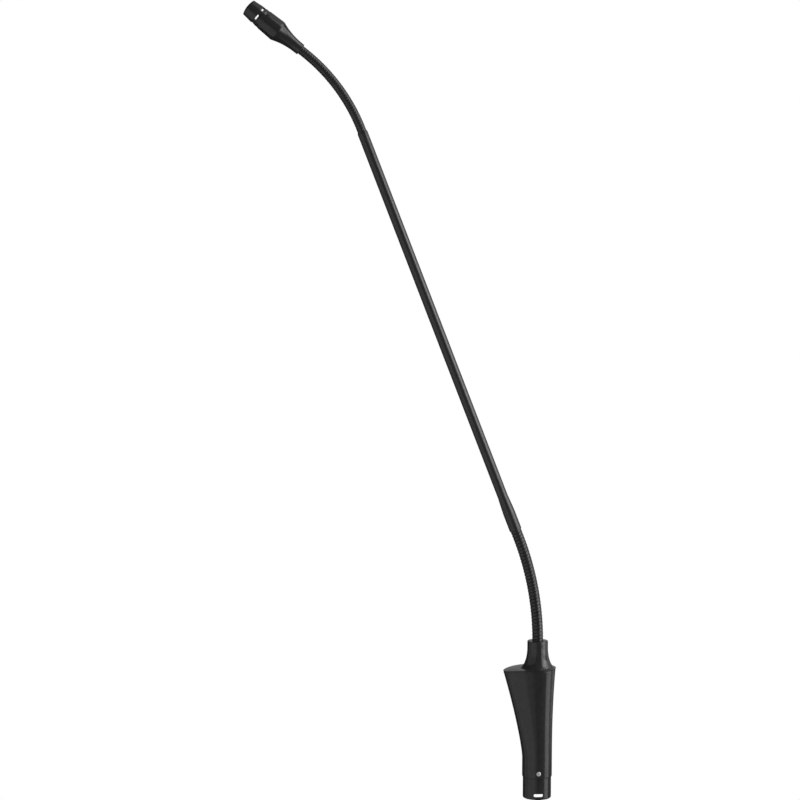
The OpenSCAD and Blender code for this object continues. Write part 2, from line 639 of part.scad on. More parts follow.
module backplate_holder() color(PLASTIC) in_head() rotate_extrude() difference() {
    translate([0, STACK_Z - 3.6]) square([STACK_R, 2.94]);
    translate([0, STACK_Z - 1.4]) square([3.5 + FIT, 2]);
    translate([0, STACK_Z - 4]) square([2.9, 4]);
}

BOARD_BACK = CAN_TOP - CAN_LEN;
module capsule_board() color(BOARD_GREEN) disc(STACK_R, BOARD_BACK, 0.8);
module field_effect_transistor() color(PLASTIC) in_head()
    translate([-1.4, -0.7, BOARD_BACK + 0.82]) cube([2.8, 1.4, 0.6]);

// Two leads from the last hinge of the neck to the capsule board, beside a strut of the slot ring.
module capsule_leads() color(PLASTIC) in_head() for (y = [-0.5, 0.5])
    cord([[0, y * 0.62, JOINT_GAP - UPPER_TAIL], [0, y * 0.62, PLUG_LEN - 0.2], [0.4, y * 0.9, 15],
          [1.4, y * 1.4, 19], [2.2, y * 1.4, 24], [2.3, y * 1.4, 31],
          [2.2, y * 1.4, BOARD_BACK - 0.02]], 0.28, 6);

// ---- The assembly ----

base_housing();
top_cap();
xlr_shell();
xlr_insert();
contact_pin(0);  // ground_pin
contact_pin(1);  // hot_pin
contact_pin(2);  // cold_pin
ground_spring();
shell_screw();
preamp_board();
filter_capacitors();
coupling_capacitors();
output_transistors();
chip_resistors();
board_screws();
output_leads();
lower_neck_root();
neck_nut();
base_cable();
for (k = [1 : LINKS]) lower_link(k);
lower_neck_cable();
tube_ferrule();
lower_neck_end();
rigid_tube();
upper_neck_root();
tube_cable();
for (k = [1 : LINKS]) upper_link(k);
upper_neck_cable();
upper_neck_end();
head_housing();
capsule_cap();
front_mesh();
wind_foam();
capsule_sleeve();
capsule_can();
diaphragm();
diaphragm_ring();
spacer_ring();
backplate();
backplate_holder();
capsule_board();
field_effect_transistor();
capsule_leads();
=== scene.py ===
"""A gooseneck podium microphone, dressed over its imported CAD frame.

Shapes are worked out with numpy in millimetres, in the frame of the CAD model: +Z up the plug's axis,
the necks leaning to -X, the latch window on -Y. They are scaled to metres when the mesh is made.
"""
import json

import bpy
import numpy as np
from mathutils import Matrix, Vector


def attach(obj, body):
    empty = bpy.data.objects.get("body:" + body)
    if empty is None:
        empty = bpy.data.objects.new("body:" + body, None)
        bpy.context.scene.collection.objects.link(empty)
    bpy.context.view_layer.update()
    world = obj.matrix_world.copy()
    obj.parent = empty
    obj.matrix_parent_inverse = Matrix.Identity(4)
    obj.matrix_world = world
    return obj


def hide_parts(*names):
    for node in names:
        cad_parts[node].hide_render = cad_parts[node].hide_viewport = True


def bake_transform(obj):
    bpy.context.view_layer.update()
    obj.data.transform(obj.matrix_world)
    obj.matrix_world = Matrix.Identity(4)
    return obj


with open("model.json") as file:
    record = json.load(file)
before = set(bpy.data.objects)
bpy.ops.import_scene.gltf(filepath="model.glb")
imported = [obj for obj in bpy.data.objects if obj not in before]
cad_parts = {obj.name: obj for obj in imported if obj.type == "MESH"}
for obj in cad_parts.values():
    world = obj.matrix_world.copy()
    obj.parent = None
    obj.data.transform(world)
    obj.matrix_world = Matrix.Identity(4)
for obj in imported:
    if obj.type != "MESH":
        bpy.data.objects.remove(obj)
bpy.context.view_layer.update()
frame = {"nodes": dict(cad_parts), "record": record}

MM = 0.001

# ---------------------------------------------------------------- camera
CAMERA_AT = (-0.2369, -1.9223, 0.4885)  # metres
AZIMUTH, ELEVATION = np.radians(-4.3), np.radians(6.9)  # from -Y round to +X, and up
LENS, SENSOR = 132.4, 36.0  # mm

back = Vector(
    (np.sin(AZIMUTH) * np.cos(ELEVATION), -np.cos(AZIMUTH) * np.cos(ELEVATION), np.sin(ELEVATION))
)
right = Vector((np.cos(AZIMUTH), np.sin(AZIMUTH), 0))
up = back.cross(right)
camera = bpy.data.objects.new("camera", bpy.data.cameras.new("camera"))
bpy.context.collection.objects.link(camera)
turn = Matrix((right, up, back)).transposed().to_4x4()
camera.matrix_world = Matrix.Translation(CAMERA_AT) @ turn
camera.data.lens = LENS
camera.data.sensor_width = SENSOR
camera.data.clip_end = 20
bpy.context.scene.camera = camera
bpy.context.scene.view_settings.view_transform = "Standard"

# ---------------------------------------------------------------- the object's own numbers, mm and degrees
FOOT_R, FOOT_H = 10.0, 13.0  # the round foot of the housing, over the plug
RIM_H, RIM_R, WING_REACH = 74.1, 12.1, 23.6  # the cap's flat middle; the wing's half width and tip there
WALL = 1.6  # the housing's wall
PLUG_BORE_R = 8.74  # the bore in the foot that the plug's shell sits in
CAP_R, CAP_REACH, CAP_T = 12.35, 23.1, 1.8  # the cap: its round side, its tip and its plate
DOME_R = 34.0  # the arc by which the cap falls towards its edge
COLLAR_R, COLLAR_H, FLARE_H = 6.9, 92.3, 13.8  # the collar, and the height of the trumpet under it
SCREW_Z = 3.2  # height of the screw in the foot
# The necks: crest radius, distance between hinges, rest bend, distance between turns of the winding,
# depth of the valley between two turns, and the distance from the last hinge to the next piece.
LOWER = dict(name="lower", r=3.66, pitch=7.24, bend=21.1, wire=2.31, depth=0.36, tail=5.56)
UPPER = dict(name="upper", r=3.02, pitch=6.17, bend=29.9, wire=1.845, depth=0.16, tail=4.7)
HINGES = 10  # in each neck: by turns in the plane of the bend and across it
LOWER_Z = 98.8  # height of the lower neck's first hinge
UPPER_START = 6.85  # from the end of the tube to the upper neck's first hinge
BORE_SHARE = 0.62  # the bore of the windings as a share of their crest radius
CABLE_R = 0.6
TUBE_LEN, TUBE_R = 283.4, 3.45
FERRULE_R, FERRULE_LEN, TUBE_SEAT = 4.08, 23.0, 11.0  # the tube starts at TUBE_SEAT inside the ferrule
HEAD_R, FLARE_END, NECK_HOLE_R = 7.18, 19.0, 2.62  # the head's widest radius and where its trumpet ends


def lean_dir(degrees):
    """The unit direction that leans by an angle from +Z towards -X."""
    a = np.radians(degrees)
    return np.array([-np.sin(a), 0.0, np.cos(a)])


def arc_path(t, start, lean, bend, length):
    """A path that runs straight, turns evenly by bend over its length, and runs straight again.

    t is the distance along it, and 0 is where the turn starts. Returns points and the lean at each.
    """
    t = np.asarray(t, float)
    a0, k = np.radians(lean), np.radians(bend) / length
    inside = np.clip(t, 0, length)
    a = a0 + k * inside
    x = (np.cos(a) - np.cos(a0)) / k
    z = (np.sin(a) - np.sin(a0)) / k
    over = t - inside
    x, z = x - over * np.sin(a), z + over * np.cos(a)
    points = np.stack([start[0] + x, np.full_like(x, start[1]), start[2] + z], -1)
    return points, a


# ---------------------------------------------------------------- mesh makers
def mesh_piece(name, points, faces, material, body=None, stands_for=(), sharp=35):
    """A piece from points in mm and faces. Edges sharper than the given angle stay crisp."""
    mesh = bpy.data.meshes.new(name)
    mesh.from_pydata((np.asarray(points) * MM).tolist(), [], faces)
    mesh.validate()
    mesh.shade_smooth()
    mesh.set_sharp_from_angle(angle=np.radians(sharp))
    mesh.materials.append(material)
    piece = bpy.data.objects.new(name, mesh)
    bpy.context.collection.objects.link(piece)
    if body:
        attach(piece, body)
    if stands_for:
        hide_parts(*stands_for)
    return piece


def sheet_faces(rows, cols, close_rows=False):
    """Quads between rings of points stored ring by ring, with the last ring joined to the first if asked."""
    i, j = np.meshgrid(np.arange(rows if close_rows else rows - 1), np.arange(cols), indexing="ij")
    i2, j2 = (i + 1) % rows, (j + 1) % cols
    quads = np.stack([i * cols + j, i * cols + j2, i2 * cols + j2, i2 * cols + j], -1)
    return quads.reshape(-1, 4).tolist()


def end_faces(rows, cols):
    """The two flat ends of a grid of rings that isn't joined round."""
    return [list(range(cols - 1, -1, -1)), list(range((rows - 1) * cols, rows * cols))]


def turned(profile, start, lean, steps=96):
    """A closed outline of (radius, height) carried round an axis that starts at a point and leans.

    The outline runs up the outside, so that its faces point outwards.
    """
    a = np.radians(lean)
    x, y, d = np.array([np.cos(a), 0, np.sin(a)]), np.array([0.0, 1, 0]), lean_dir(lean)
    p = np.asarray(profile, float)
    phi = np.linspace(0, 2 * np.pi, steps, endpoint=False)
    ring = np.cos(phi)[:, None] * x + np.sin(phi)[:, None] * y
    points = np.asarray(start, float) + p[:, 0, None, None] * ring + p[:, 1, None, None] * d
    return points.reshape(-1, 3), sheet_faces(len(p), steps, close_rows=True)


def round_corner(centre, radius, a0, a1, steps=6):
    """Points on a quarter-round of an outline about a centre, from one angle to another, in degrees."""
    a = np.radians(np.linspace(a0, a1, steps + 1))
    return [(centre[0] + radius * np.cos(t), centre[1] + radius * np.sin(t)) for t in a]


# ---------------------------------------------------------------- materials
def linear(hex_colour):
    """sRGB hex to linear RGBA."""
    v = np.array([int(hex_colour[i : i + 2], 16) for i in (1, 3, 5)]) / 255
    v = np.where(v <= 0.04045, v / 12.92, ((v + 0.055) / 1.055) ** 2.4)
    return (*v.tolist(), 1.0)


def add(tree, kind, settings=(), **links):
    """Adds a node. Settings are its properties or inputs by name; links join inputs to (node, output)."""
    node = tree.nodes.new(kind)
    for key, value in dict(settings).items():
        if isinstance(key, int) or key in node.inputs:
            node.inputs[key].default_value = value
        else:
            setattr(node, key, value)
    for key, (source, output) in links.items():
        target = int(key[1:]) if key[0] == "i" and key[1:].isdigit() else key.replace("_", " ")
        tree.links.new(source.outputs[output], node.inputs[target])
    return node


SPECK_MM = 0.6  # size of the faint specks in the sheen of a sprayed or plated surface


def finish_of(name, dark, light, rough, grain_mm, bump_mm, metallic=0.0, blotch_mm=4.0):
    """A surface whose colour drifts slowly between two tones, with a fine grain in its gloss and height.

    rough is the lowest and highest roughness. grain_mm and blotch_mm are the sizes of the fine and the
    slow pattern, and bump_mm is how far the grain stands up. Specks of SPECK_MM make the sheen a little
    stronger and weaker, as fine dust under a sprayed coat does.
    """
    m = bpy.data.materials.new(name)
    m.use_nodes = True
    tree = m.node_tree
    tree.nodes.clear()
    place = add(tree, "ShaderNodeTexCoord")
    slow, fine, speck = (
        add(tree, "ShaderNodeTexNoise", {"Scale": 1 / (size * MM), "Detail": detail}, Vector=(place, "Object"))
        for size, detail in ((blotch_mm, 3.0), (grain_mm, 2.0), (SPECK_MM, 1.0))
    )
    ramp = add(tree, "ShaderNodeValToRGB", Fac=(slow, "Fac"))
    for stop, position, colour in zip(ramp.color_ramp.elements, (0.35, 0.65), (dark, light)):
        stop.position, stop.color = position, linear(colour)
    gloss = add(tree, "ShaderNodeMapRange",
                {"From Min": 0.3, "From Max": 0.7, "To Min": rough[0], "To Max": rough[1]}, Value=(fine, "Fac"))
    bump = add(tree, "ShaderNodeBump", {"Strength": 1.0, "Distance": bump_mm * MM}, Height=(fine, "Fac"))
    sheen = add(tree, "ShaderNodeMapRange",
                {"From Min": 0.4, "From Max": 0.6, "To Min": 0.38, "To Max": 0.62}, Value=(speck, "Fac"))
    shader = add(tree, "ShaderNodeBsdfPrincipled", {"Metallic": metallic}, Normal=(bump, "Normal"),
                 Base_Color=(ramp, "Color"), Roughness=(gloss, "Result"), Specular_IOR_Level=(sheen, "Result"))
    add(tree, "ShaderNodeOutputMaterial", Surface=(shader, "BSDF"))
    return m


# Satin black stove enamel on die-cast zinc: an even, slightly soft sheen with a faint orange peel.
housing_enamel = finish_of("satin_black_enamel_on_zinc", "#252526", "#292929", (0.14, 0.2), 0.9, 0.004,
                           blotch_mm=3.0)
# The same enamel on the drawn tube: with less peel, so that its highlight is a narrow straight line.
tube_enamel = finish_of("satin_black_enamel_on_tube", "#262627", "#292929", (0.14, 0.2), 0.6, 0.002)
# Black plating on the die-cast plug shell: a hard, smooth sheen, a shade darker than the enamel.
plug_plating = finish_of("black_plated_zinc", "#252526", "#282829", (0.14, 0.2), 0.6, 0.002)
# Black oxide on wound spring steel: dark, with a small soft glint on each turn.
neck_oxide = finish_of("black_oxide_spring_steel", "#202021", "#262628", (0.18, 0.24), 0.3, 0.002)
# The tube's enamel on the turned brass of the capsule cap: the same tone, with clean edges at the slots.
cap_enamel = finish_of("satin_black_enamel_on_brass", "#262627", "#292929", (0.14, 0.2), 0.6, 0.002)
# Moulded glass-filled nylon: nearly black and matt, so that the pins stand out.
nylon = finish_of("glass_filled_nylon", "#131314", "#1a1a1b", (0.55, 0.7), 0.25, 0.01)
# Gold plated on turned brass: a warm, bright reflection, softened by the fine turning.
gold = finish_of("gold_plated_brass", "#d9ab4e", "#e6bd63", (0.2, 0.3), 0.3, 0.001, metallic=1.0)
# Dull nickel on steel screws and nut: a broad soft sheen that stays light among the black parts.
nickel = finish_of("dull_nickel_on_steel", "#d2d2d4", "#e6e6e8", (0.45, 0.58), 0.2, 0.004, metallic=0.6)
# Tinned and stamped phosphor bronze: a pale, slightly warm grey with a blurred reflection.
tinned = finish_of("tinned_phosphor_bronze", "#b3aea3", "#c4c0b5", (0.3, 0.42), 0.2, 0.001, metallic=1.0)
# Solder mask printed over a glass weave: a deep green with a soft, slightly uneven gloss.
laminate = finish_of("green_board_laminate", "#0c3a20", "#114a29", (0.3, 0.42), 0.3, 0.004)
# Heat-shrunk vinyl round the filter capacitors: dark blue with a smooth gloss.
sleeve = finish_of("shrunk_capacitor_sleeve", "#161c3a", "#1c2346", (0.25, 0.35), 0.5, 0.004)
# Dipped epoxy round the film capacitors: brick red, glossy and gently wavy.
dipped = finish_of("dipped_film_capacitor", "#8c2014", "#9c2a1b", (0.2, 0.3), 0.6, 0.01)
# Moulded epoxy compound of the small parts: black and matt.
moulding = finish_of("black_moulding_compound", "#151515", "#1b1b1b", (0.5, 0.62), 0.15, 0.005)
# Extruded soft vinyl round the cable: black, with a wide dull highlight.
jacket = finish_of("vinyl_cable_jacket", "#141415", "#1b1b1c", (0.42, 0.52), 0.4, 0.004)
# Blackened woven mesh: a dark sparkle, drawn as a coarse grain because its wires are too fine to show.
mesh_steel = finish_of("blackened_woven_mesh", "#101011", "#242425", (0.4, 0.6), 0.3, 0.05)
# Cut open-cell foam: black without any gloss, and visibly rough.
foam = finish_of("open_cell_foam", "#0d0d0d", "#191919", (0.85, 0.95), 0.4, 0.15)
# Pressed aluminium of the capsule's can: light grey, with a blurred reflection.
pressed = finish_of("pressed_aluminium", "#c6c6c8", "#d4d4d6", (0.28, 0.38), 0.3, 0.002, metallic=1.0)
# Film with metal evaporated on it: the brightest and smoothest of the capsule's surfaces.
film = finish_of("metallised_film", "#bdbdbf", "#c8c8ca", (0.12, 0.2), 1.0, 0.001, metallic=1.0)
# Stamped polyester film between diaphragm and backplate: milky and half glossy.
washer = finish_of("film_washer", "#cfcdc2", "#d9d7cc", (0.3, 0.4), 0.5, 0.002)
# Turned brass seen through the film bonded on it: yellow, with a soft reflection.
electret = finish_of("brass_under_electret_film", "#cfa65a", "#dab469", (0.25, 0.35), 0.3, 0.001, metallic=1.0)

SLOT_FINISH = {
    "black_housing_paint": housing_enamel, "black_tube_paint": tube_enamel, "black_plug_shell": plug_plating,
    "black_gooseneck_steel": neck_oxide, "capsule_cap_paint": cap_enamel, "insert_plastic": nylon,
    "gold_contact": gold, "screw_steel": nickel, "spring_bronze": tinned, "board_laminate": laminate,
    "capacitor_sleeve": sleeve, "film_capacitor_case": dipped, "moulded_case": moulding, "cable_jacket": jacket,
    "front_mesh_steel": mesh_steel, "foam": foam, "capsule_aluminium": pressed, "metallised_film": film,
    "clear_spacer": washer, "electret_backplate": electret,
}
for part in frame["record"]["subparts"]:
    node = frame["nodes"][part["node"]]
    for place in node.material_slots:
        place.material = SLOT_FINISH[part["material_slot"]]
    if not node.material_slots:
        node.data.materials.append(SLOT_FINISH[part["material_slot"]])


# ---------------------------------------------------------------- housing and cap
def flare(z):
    """How far up the wing a height is: 0 at the foot's top, 1 at the rim."""
    return np.clip((z - FOOT_H) / (RIM_H - FOOT_H), 0, None)


def side_r(z):
    """Radius of the round side of the wing at a height, and half its width."""
    return FOOT_R + (RIM_R - FOOT_R) * flare(z) ** 2.3


def reach(z):
    """Distance from the plug's axis to the tip of the wing at a height."""
    return FOOT_R + (WING_REACH - FOOT_R) * flare(z) ** 1.3


TURN = np.radians(np.linspace(-90, 270, 144, endpoint=False))  # the columns of the housing and the cap


def wing_outline(r, tip):
    """Half a circle towards +X, and half an ellipse of the same width towards -X."""
    r, tip = np.asarray(r)[..., None], np.asarray(tip)[..., None]
    return np.where(np.cos(TURN) > 0, r, tip) * np.cos(TURN), r * np.sin(TURN)


def dome(r):
    """Height of the cap's upper surface at a distance from the plug's axis: level, then an arc down."""
    return RIM_H - DOME_R + np.sqrt(DOME_R**2 - np.maximum(0, r - RIM_R) ** 2)


def housing():
    """Outer wall up from the foot, the top edge cut parallel to the dome, and the inner wall back down.

    Each row is the outline for its height. The rows between upper_part and the cap share the height of
    each column evenly, so that the last one lies along the cap's underside.
    """
    upper_part, first_guess, seat = 60.0, 68.0, 0.02
    rows = []

    def level(x, y, z):
        return np.stack([x, y, np.broadcast_to(np.asarray(z)[..., None], x.shape)], -1)

    for z, r in ((0.0, FOOT_R - 0.25), (0.07, FOOT_R - 0.07), (0.25, FOOT_R)):
        rows.append(level(*wing_outline(r, r), z))

    def wall(z, inset):
        return level(*wing_outline(side_r(z) - inset, reach(z) - inset), z)

    def up_to_cap(share, inset):
        """Points between the upper part and the cap's underside, each on its own column."""
        z = np.full(len(TURN), first_guess)
        for _ in range(6):
            r, tip = side_r(z) - inset, reach(z) - inset
            x, y = np.where(np.cos(TURN) > 0, r, tip) * np.cos(TURN), r * np.sin(TURN)
            z = upper_part + (dome(np.hypot(x, y)) - CAP_T - seat - upper_part) * share
        return np.stack([x, y, z], -1)

    rows += list(wall(np.arange(0.6, 8, 0.35), 0.0)) + list(wall(np.arange(8, upper_part, 1.0), 0.0))
    rows += [up_to_cap(s, 0.0) for s in np.linspace(0, 1, 14)]
    rows += [up_to_cap(s, WALL) for s in np.linspace(1, 0, 6)]
    rows += list(wall(np.array([50.0, 40, 30, 22, 16, 13, 11]), WALL))
    for z in (11.0, 0.0):
        rows.append(level(*wing_outline(PLUG_BORE_R, PLUG_BORE_R), z))
    return np.concatenate(rows), sheet_faces(len(rows), len(TURN), close_rows=True)


def cap():
    """Underside, lip, dome, trumpet, collar and bore of the cap, each a ring round the plug's axis.

    The rings of the dome go in evenly from the cap's outline to the foot of the trumpet, column by column,
    and take their height from the dome at their own radius, with a lift that eases them into the trumpet.
    The trumpet is a quarter of an ellipse.
    """
    neck_bore, rim_w, edge, lip, collar_edge, lift = 3.68, 2.2, 0.12, 0.36, 0.4, 0.046
    ox, oy = wing_outline(CAP_R, CAP_REACH)
    edge_r, phi = np.hypot(ox, oy), np.arctan2(oy, ox)
    rows = []

    def ring(r, z):
        r, z = np.broadcast_to(r, edge_r.shape), np.broadcast_to(z, edge_r.shape)
        rows.append(np.stack([r * np.cos(phi), r * np.sin(phi), z], -1))

    top, under = dome(edge_r - edge), dome(edge_r) - CAP_T
    ring(neck_bore, 69.0)
    ring(edge_r - rim_w, under - 2.0)
    ring(edge_r - rim_w, under)
    ring(edge_r - lip - 0.05, under)
    for depth in (CAP_T - 0.05, CAP_T - 0.2, 0.9, 0.75):
        ring(edge_r - lip, top - depth)
    ring(edge_r - lip / 2, top - 0.45)
    for a in np.radians([-30, 0, 30, 60, 90]):
        ring(edge_r - edge + edge * np.cos(a), top - edge + edge * np.sin(a))
    flat = RIM_R - 0.5
    for s in np.linspace(0, 1, 13)[1:]:
        r = (edge_r - edge) + (flat - (edge_r - edge)) * s
        ring(r, dome(r) + lift * s)
    for a in np.radians(np.arange(84, -1, -4)):
        ring(COLLAR_R + (RIM_R - COLLAR_R) * (1 - np.cos(a)), RIM_H + FLARE_H * (1 - np.sin(a)))
    for z in (89.5, 91, COLLAR_H - collar_edge):
        ring(COLLAR_R, z)
    for a in np.radians([22.5, 45, 67.5, 90]):
        ring(COLLAR_R - collar_edge * (1 - np.cos(a)), COLLAR_H - collar_edge * (1 - np.sin(a)))
    ring(3.95, COLLAR_H)
    ring(neck_bore, COLLAR_H - 0.25)
    return np.concatenate(rows), sheet_faces(len(rows), len(TURN), close_rows=True)


def cut(piece, name, points, faces):
    """Cuts a closed shape out of a piece, for good."""
    tool = mesh_piece(name, points, faces, housing_enamel)
    step = piece.modifiers.new("cut", "BOOLEAN")
    step.operation, step.solver, step.object = "DIFFERENCE", "EXACT", tool
    bpy.context.view_layer.update()
    result = bpy.data.meshes.new_from_object(piece.evaluated_get(bpy.context.evaluated_depsgraph_get()))
    piece.modifiers.clear()
    piece.data = result
    bpy.data.objects.remove(tool)
    result.set_sharp_from_angle(angle=np.radians(35))


def screw_drill(steps=40):
    """The hole for the foot's screw: rings of (radius, depth) round an axis that runs into the foot."""
    p = np.array([(1.8, -2), (1.8, 0.12), (1.58, 0.36), (1.58, 3)])
    phi = np.linspace(0, 2 * np.pi, steps, endpoint=False)
    r, depth = p[:, 0, None], p[:, 1, None]
    points = np.stack([r * np.cos(phi), -FOOT_R + depth + 0 * phi, SCREW_Z - r * np.sin(phi)], -1)
    return points.reshape(-1, 3), sheet_faces(len(p), steps) + end_faces(len(p), steps)


points, faces = housing()
shell = mesh_piece("housing_shell", points, faces, housing_enamel, "base",
                   ["base_housing"])
cut(shell, "screw_drill", *screw_drill())
points, faces = cap()
mesh_piece("cap_shell", points, faces, housing_enamel, "base", ["top_cap"])


# ---------------------------------------------------------------- necks
def winding(phase, depth):
    """Height under the crest of a winding: flat on the crest, and falling ever faster to a sharp valley."""
    return -depth * np.abs(2 * (phase % 1.0) - 1) ** 5


def neck_path(neck, start, lean, s):
    """The neck's middle at distances from its first hinge, the lean there, and the two directions across."""
    centre, a = arc_path(s + neck["pitch"], start, lean, neck["bend"], HINGES * neck["pitch"])
    across = np.stack([np.cos(a), 0 * a, np.sin(a)], -1)[:, None, :]
    return centre[:, None, :], a, across, np.array([0.0, 1, 0])


def neck_skin(neck, start, lean, s0, s1, pockets, steps=48):
    """The windings between two distances along a neck, closed at both ends.

    The outer radius follows a helix: its height depends on the distance less one turn's width a turn. The
    bore is plain, and opens into half a sphere at each distance in pockets, to clear the core there.
    """
    rows_a_turn, bore_rows, clearance = 18, 4, 0.12
    rows = int(np.ceil((s1 - s0) / (neck["wire"] / rows_a_turn))) + 1
    s = np.linspace(s0, s1, rows)
    theta = np.linspace(0, 2 * np.pi, steps, endpoint=False)
    grid_s, grid_t = np.meshgrid(s, theta, indexing="ij")
    outer = neck["r"] + winding(grid_s / neck["wire"] - grid_t / (2 * np.pi), neck["depth"])
    inner_s = np.linspace(s1, s0, max(rows // bore_rows, 2))
    bore = np.full(len(inner_s), BORE_SHARE * neck["r"])
    for pocket in pockets:
        sphere = np.sqrt(np.maximum(0, core_r(neck) ** 2 - (inner_s - pocket) ** 2)) + clearance
        bore = np.maximum(bore, sphere)
    inner = np.repeat(bore[:, None], steps, axis=1)
    s, r = np.concatenate([s, inner_s]), np.concatenate([outer, inner])
    centre, _, x, y = neck_path(neck, start, lean, s)
    t = theta[None, :, None]
    points = centre + r[..., None] * (np.cos(t) * x + np.sin(t) * y)
    return points.reshape(-1, 3), sheet_faces(len(s), steps, close_rows=True)


def core_r(neck, clear=0.25):
    """Radius of the round core that shows where two lengths of winding open at a bend hinge."""
    return neck["r"] - neck["depth"] - clear


def neck_core(neck, start, lean, s):
    """The core at a bend hinge: a zone of a sphere about the hinge, bored for the cable."""
    r, bore, edge = core_r(neck), BORE_SHARE * neck["r"] - 0.05, 0.05
    centre, a, _, _ = neck_path(neck, start, lean, np.array([s]))
    half = np.arccos(bore / r) - edge
    zone = np.linspace(-half, half, 15)
    outline = list(zip(r * np.cos(zone), r * np.sin(zone)))
    outline += [(bore - edge, r * np.sin(half)), (bore - edge, -r * np.sin(half))]
    return turned(outline, centre[0, 0], np.degrees(a[0]), 48)


def neck_cable(neck, start, lean, s0, s1, steps=10, rows=12):
    """The round cable down the middle of a neck, closed at both ends."""
    centre, _, x, y = neck_path(neck, start, lean, np.linspace(s0, s1, rows))
    t = np.linspace(0, 2 * np.pi, steps, endpoint=False)[None, :, None]
    points = centre + CABLE_R * (np.cos(t) * x + np.sin(t) * y)
    return points.reshape(-1, 3), sheet_faces(rows, steps) + end_faces(rows, steps)


def dress_neck(neck, start, lean, before, after, first, last, ends, split):
    """Skins for a neck, one over each hinge, from the middle of one link to the middle of the next.

    before and after are the bodies the neck joins, first and last the distances where its skin begins and
    ends, and ends the two fittings it covers.

    At the hinges outside split a skin and its cable belong to no body, and their place is baked into
    their points. At the hinges in split two half skins ride there, one on the near body and one on the
    far one, with a core on the near body that shows between them in a bend.
    """
    p, name, cable_gap = neck["pitch"], neck["name"], 0.15
    bodies = [before] + ["%s_link_%d" % (name, k) for k in range(1, HINGES)] + [after]

    def windings(label, s0, s1, pockets, body, nodes):
        points, faces = neck_skin(neck, start, lean, s0, s1, pockets)
        return mesh_piece("%s_neck_windings_%s" % (name, label), points, faces, neck_oxide, body,
                          nodes, sharp=60)

    def cable(label, s0, s1, body):
        points, faces = neck_cable(neck, start, lean, s0, s1)
        return mesh_piece("%s_neck_cable_%s" % (name, label), points, faces, jacket, body,
                          ["%s_neck_cable" % name])

    for k in range(HINGES):
        mid = k * p
        near, far = bodies[k], bodies[k + 1]
        s0 = first if k == 0 else mid - p / 2
        s1 = last if k == HINGES - 1 else mid + p / 2
        c0, c1 = max(s0, mid - p / 2), min(s1, mid + p / 2)
        nodes = [far] if k < HINGES - 1 else [ends[1]]
        if k == 0:
            nodes.append(ends[0])
        if k in split:
            windings("%d_near" % (k + 1), s0, mid, [mid], near, ())
            windings("%d_far" % (k + 1), mid, s1, [mid], far, nodes)
            cable("%d_near" % (k + 1), c0, mid - cable_gap, near)
            cable("%d_far" % (k + 1), mid + cable_gap, c1, far)
            points, faces = neck_core(neck, start, lean, mid)
            mesh_piece("%s_neck_core_%d" % (name, k + 1), points, faces, neck_oxide, near)
            continue
        for obj in (windings(k + 1, s0, s1, [], None, nodes), cable(k + 1, c0, c1, None)):
            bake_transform(obj)


def last_hinge(neck):
    """Distance from a neck's first hinge to its last."""
    return (HINGES - 1) * neck["pitch"]


lower_start = np.array([0.0, 0, LOWER_Z - LOWER["pitch"]])
dress_neck(LOWER, lower_start, 0.0, "base", "tube", -15.0, last_hinge(LOWER) + LOWER["tail"] + 4,
           ("lower_neck_root", "lower_neck_end"), split=())


def chain_point(start, lean, neck, count):
    """The place of a hinge: the links before it laid end to end, each leaning as the hinges before it bend."""
    p = np.array(start, float)
    for k in range(1, count):
        p = p + neck["pitch"] * lean_dir(lean + neck["bend"] * np.ceil(k / 2) / (HINGES / 2))
    return p


last_lower = chain_point((0, 0, LOWER_Z), 0.0, LOWER, HINGES)
tube_start = last_lower + LOWER["tail"] * lean_dir(LOWER["bend"])
tube_end = tube_start + TUBE_LEN * lean_dir(LOWER["bend"])
first_upper = tube_end + UPPER_START * lean_dir(LOWER["bend"])
upper_start = first_upper - UPPER["pitch"] * lean_dir(LOWER["bend"])
dress_neck(UPPER, upper_start, LOWER["bend"], "tube", "head", -UPPER_START - 6,
           last_hinge(UPPER) + UPPER["tail"] + 6, ("upper_neck_root", "upper_neck_end"),
           split=(2,))

# ---------------------------------------------------------------- tube, ferrule and head
# Outlines of (radius, distance along the axis), up the outside and back down the bore. Rows close to a
# corner keep the shading of the long faces beside it even.
outline = [(3.48, TUBE_SEAT + 0.02), (3.12, TUBE_SEAT), (3.12, 0.1), (3.2, 0), (3.7, 0)]
outline += round_corner((FERRULE_R - 0.3, 0.3), 0.3, -90, 0, 4)
outline += [(FERRULE_R, 0.7), (FERRULE_R, 6), (FERRULE_R, 12), (4.075, 12.6), (4.06, 13), (4.0, 13.6)]
outline += [(3.9, 16.4), (3.74, 19.4), (3.6, 22.2), (3.55, 22.7), (3.48, FERRULE_LEN - 0.02)]
points, faces = turned(outline, tube_start, LOWER["bend"])
mesh_piece("ferrule_sleeve", points, faces, tube_enamel, "tube", ["tube_ferrule"])

outline = [(2.65, TUBE_LEN), (2.65, TUBE_SEAT), (TUBE_R, TUBE_SEAT)]
outline += [(TUBE_R, d) for d in np.linspace(20, TUBE_LEN - 2, 40)]
outline += [(TUBE_R, TUBE_LEN - 1.3), (TUBE_R - 0.08, TUBE_LEN - 0.9), (TUBE_R - 0.3, TUBE_LEN - 0.3),
            (TUBE_R - 0.42, TUBE_LEN - 0.06), (TUBE_R - 0.52, TUBE_LEN)]
points, faces = turned(outline, tube_start, LOWER["bend"])
mesh_piece("tube_wall", points, faces, tube_enamel, "tube", ["rigid_tube"])

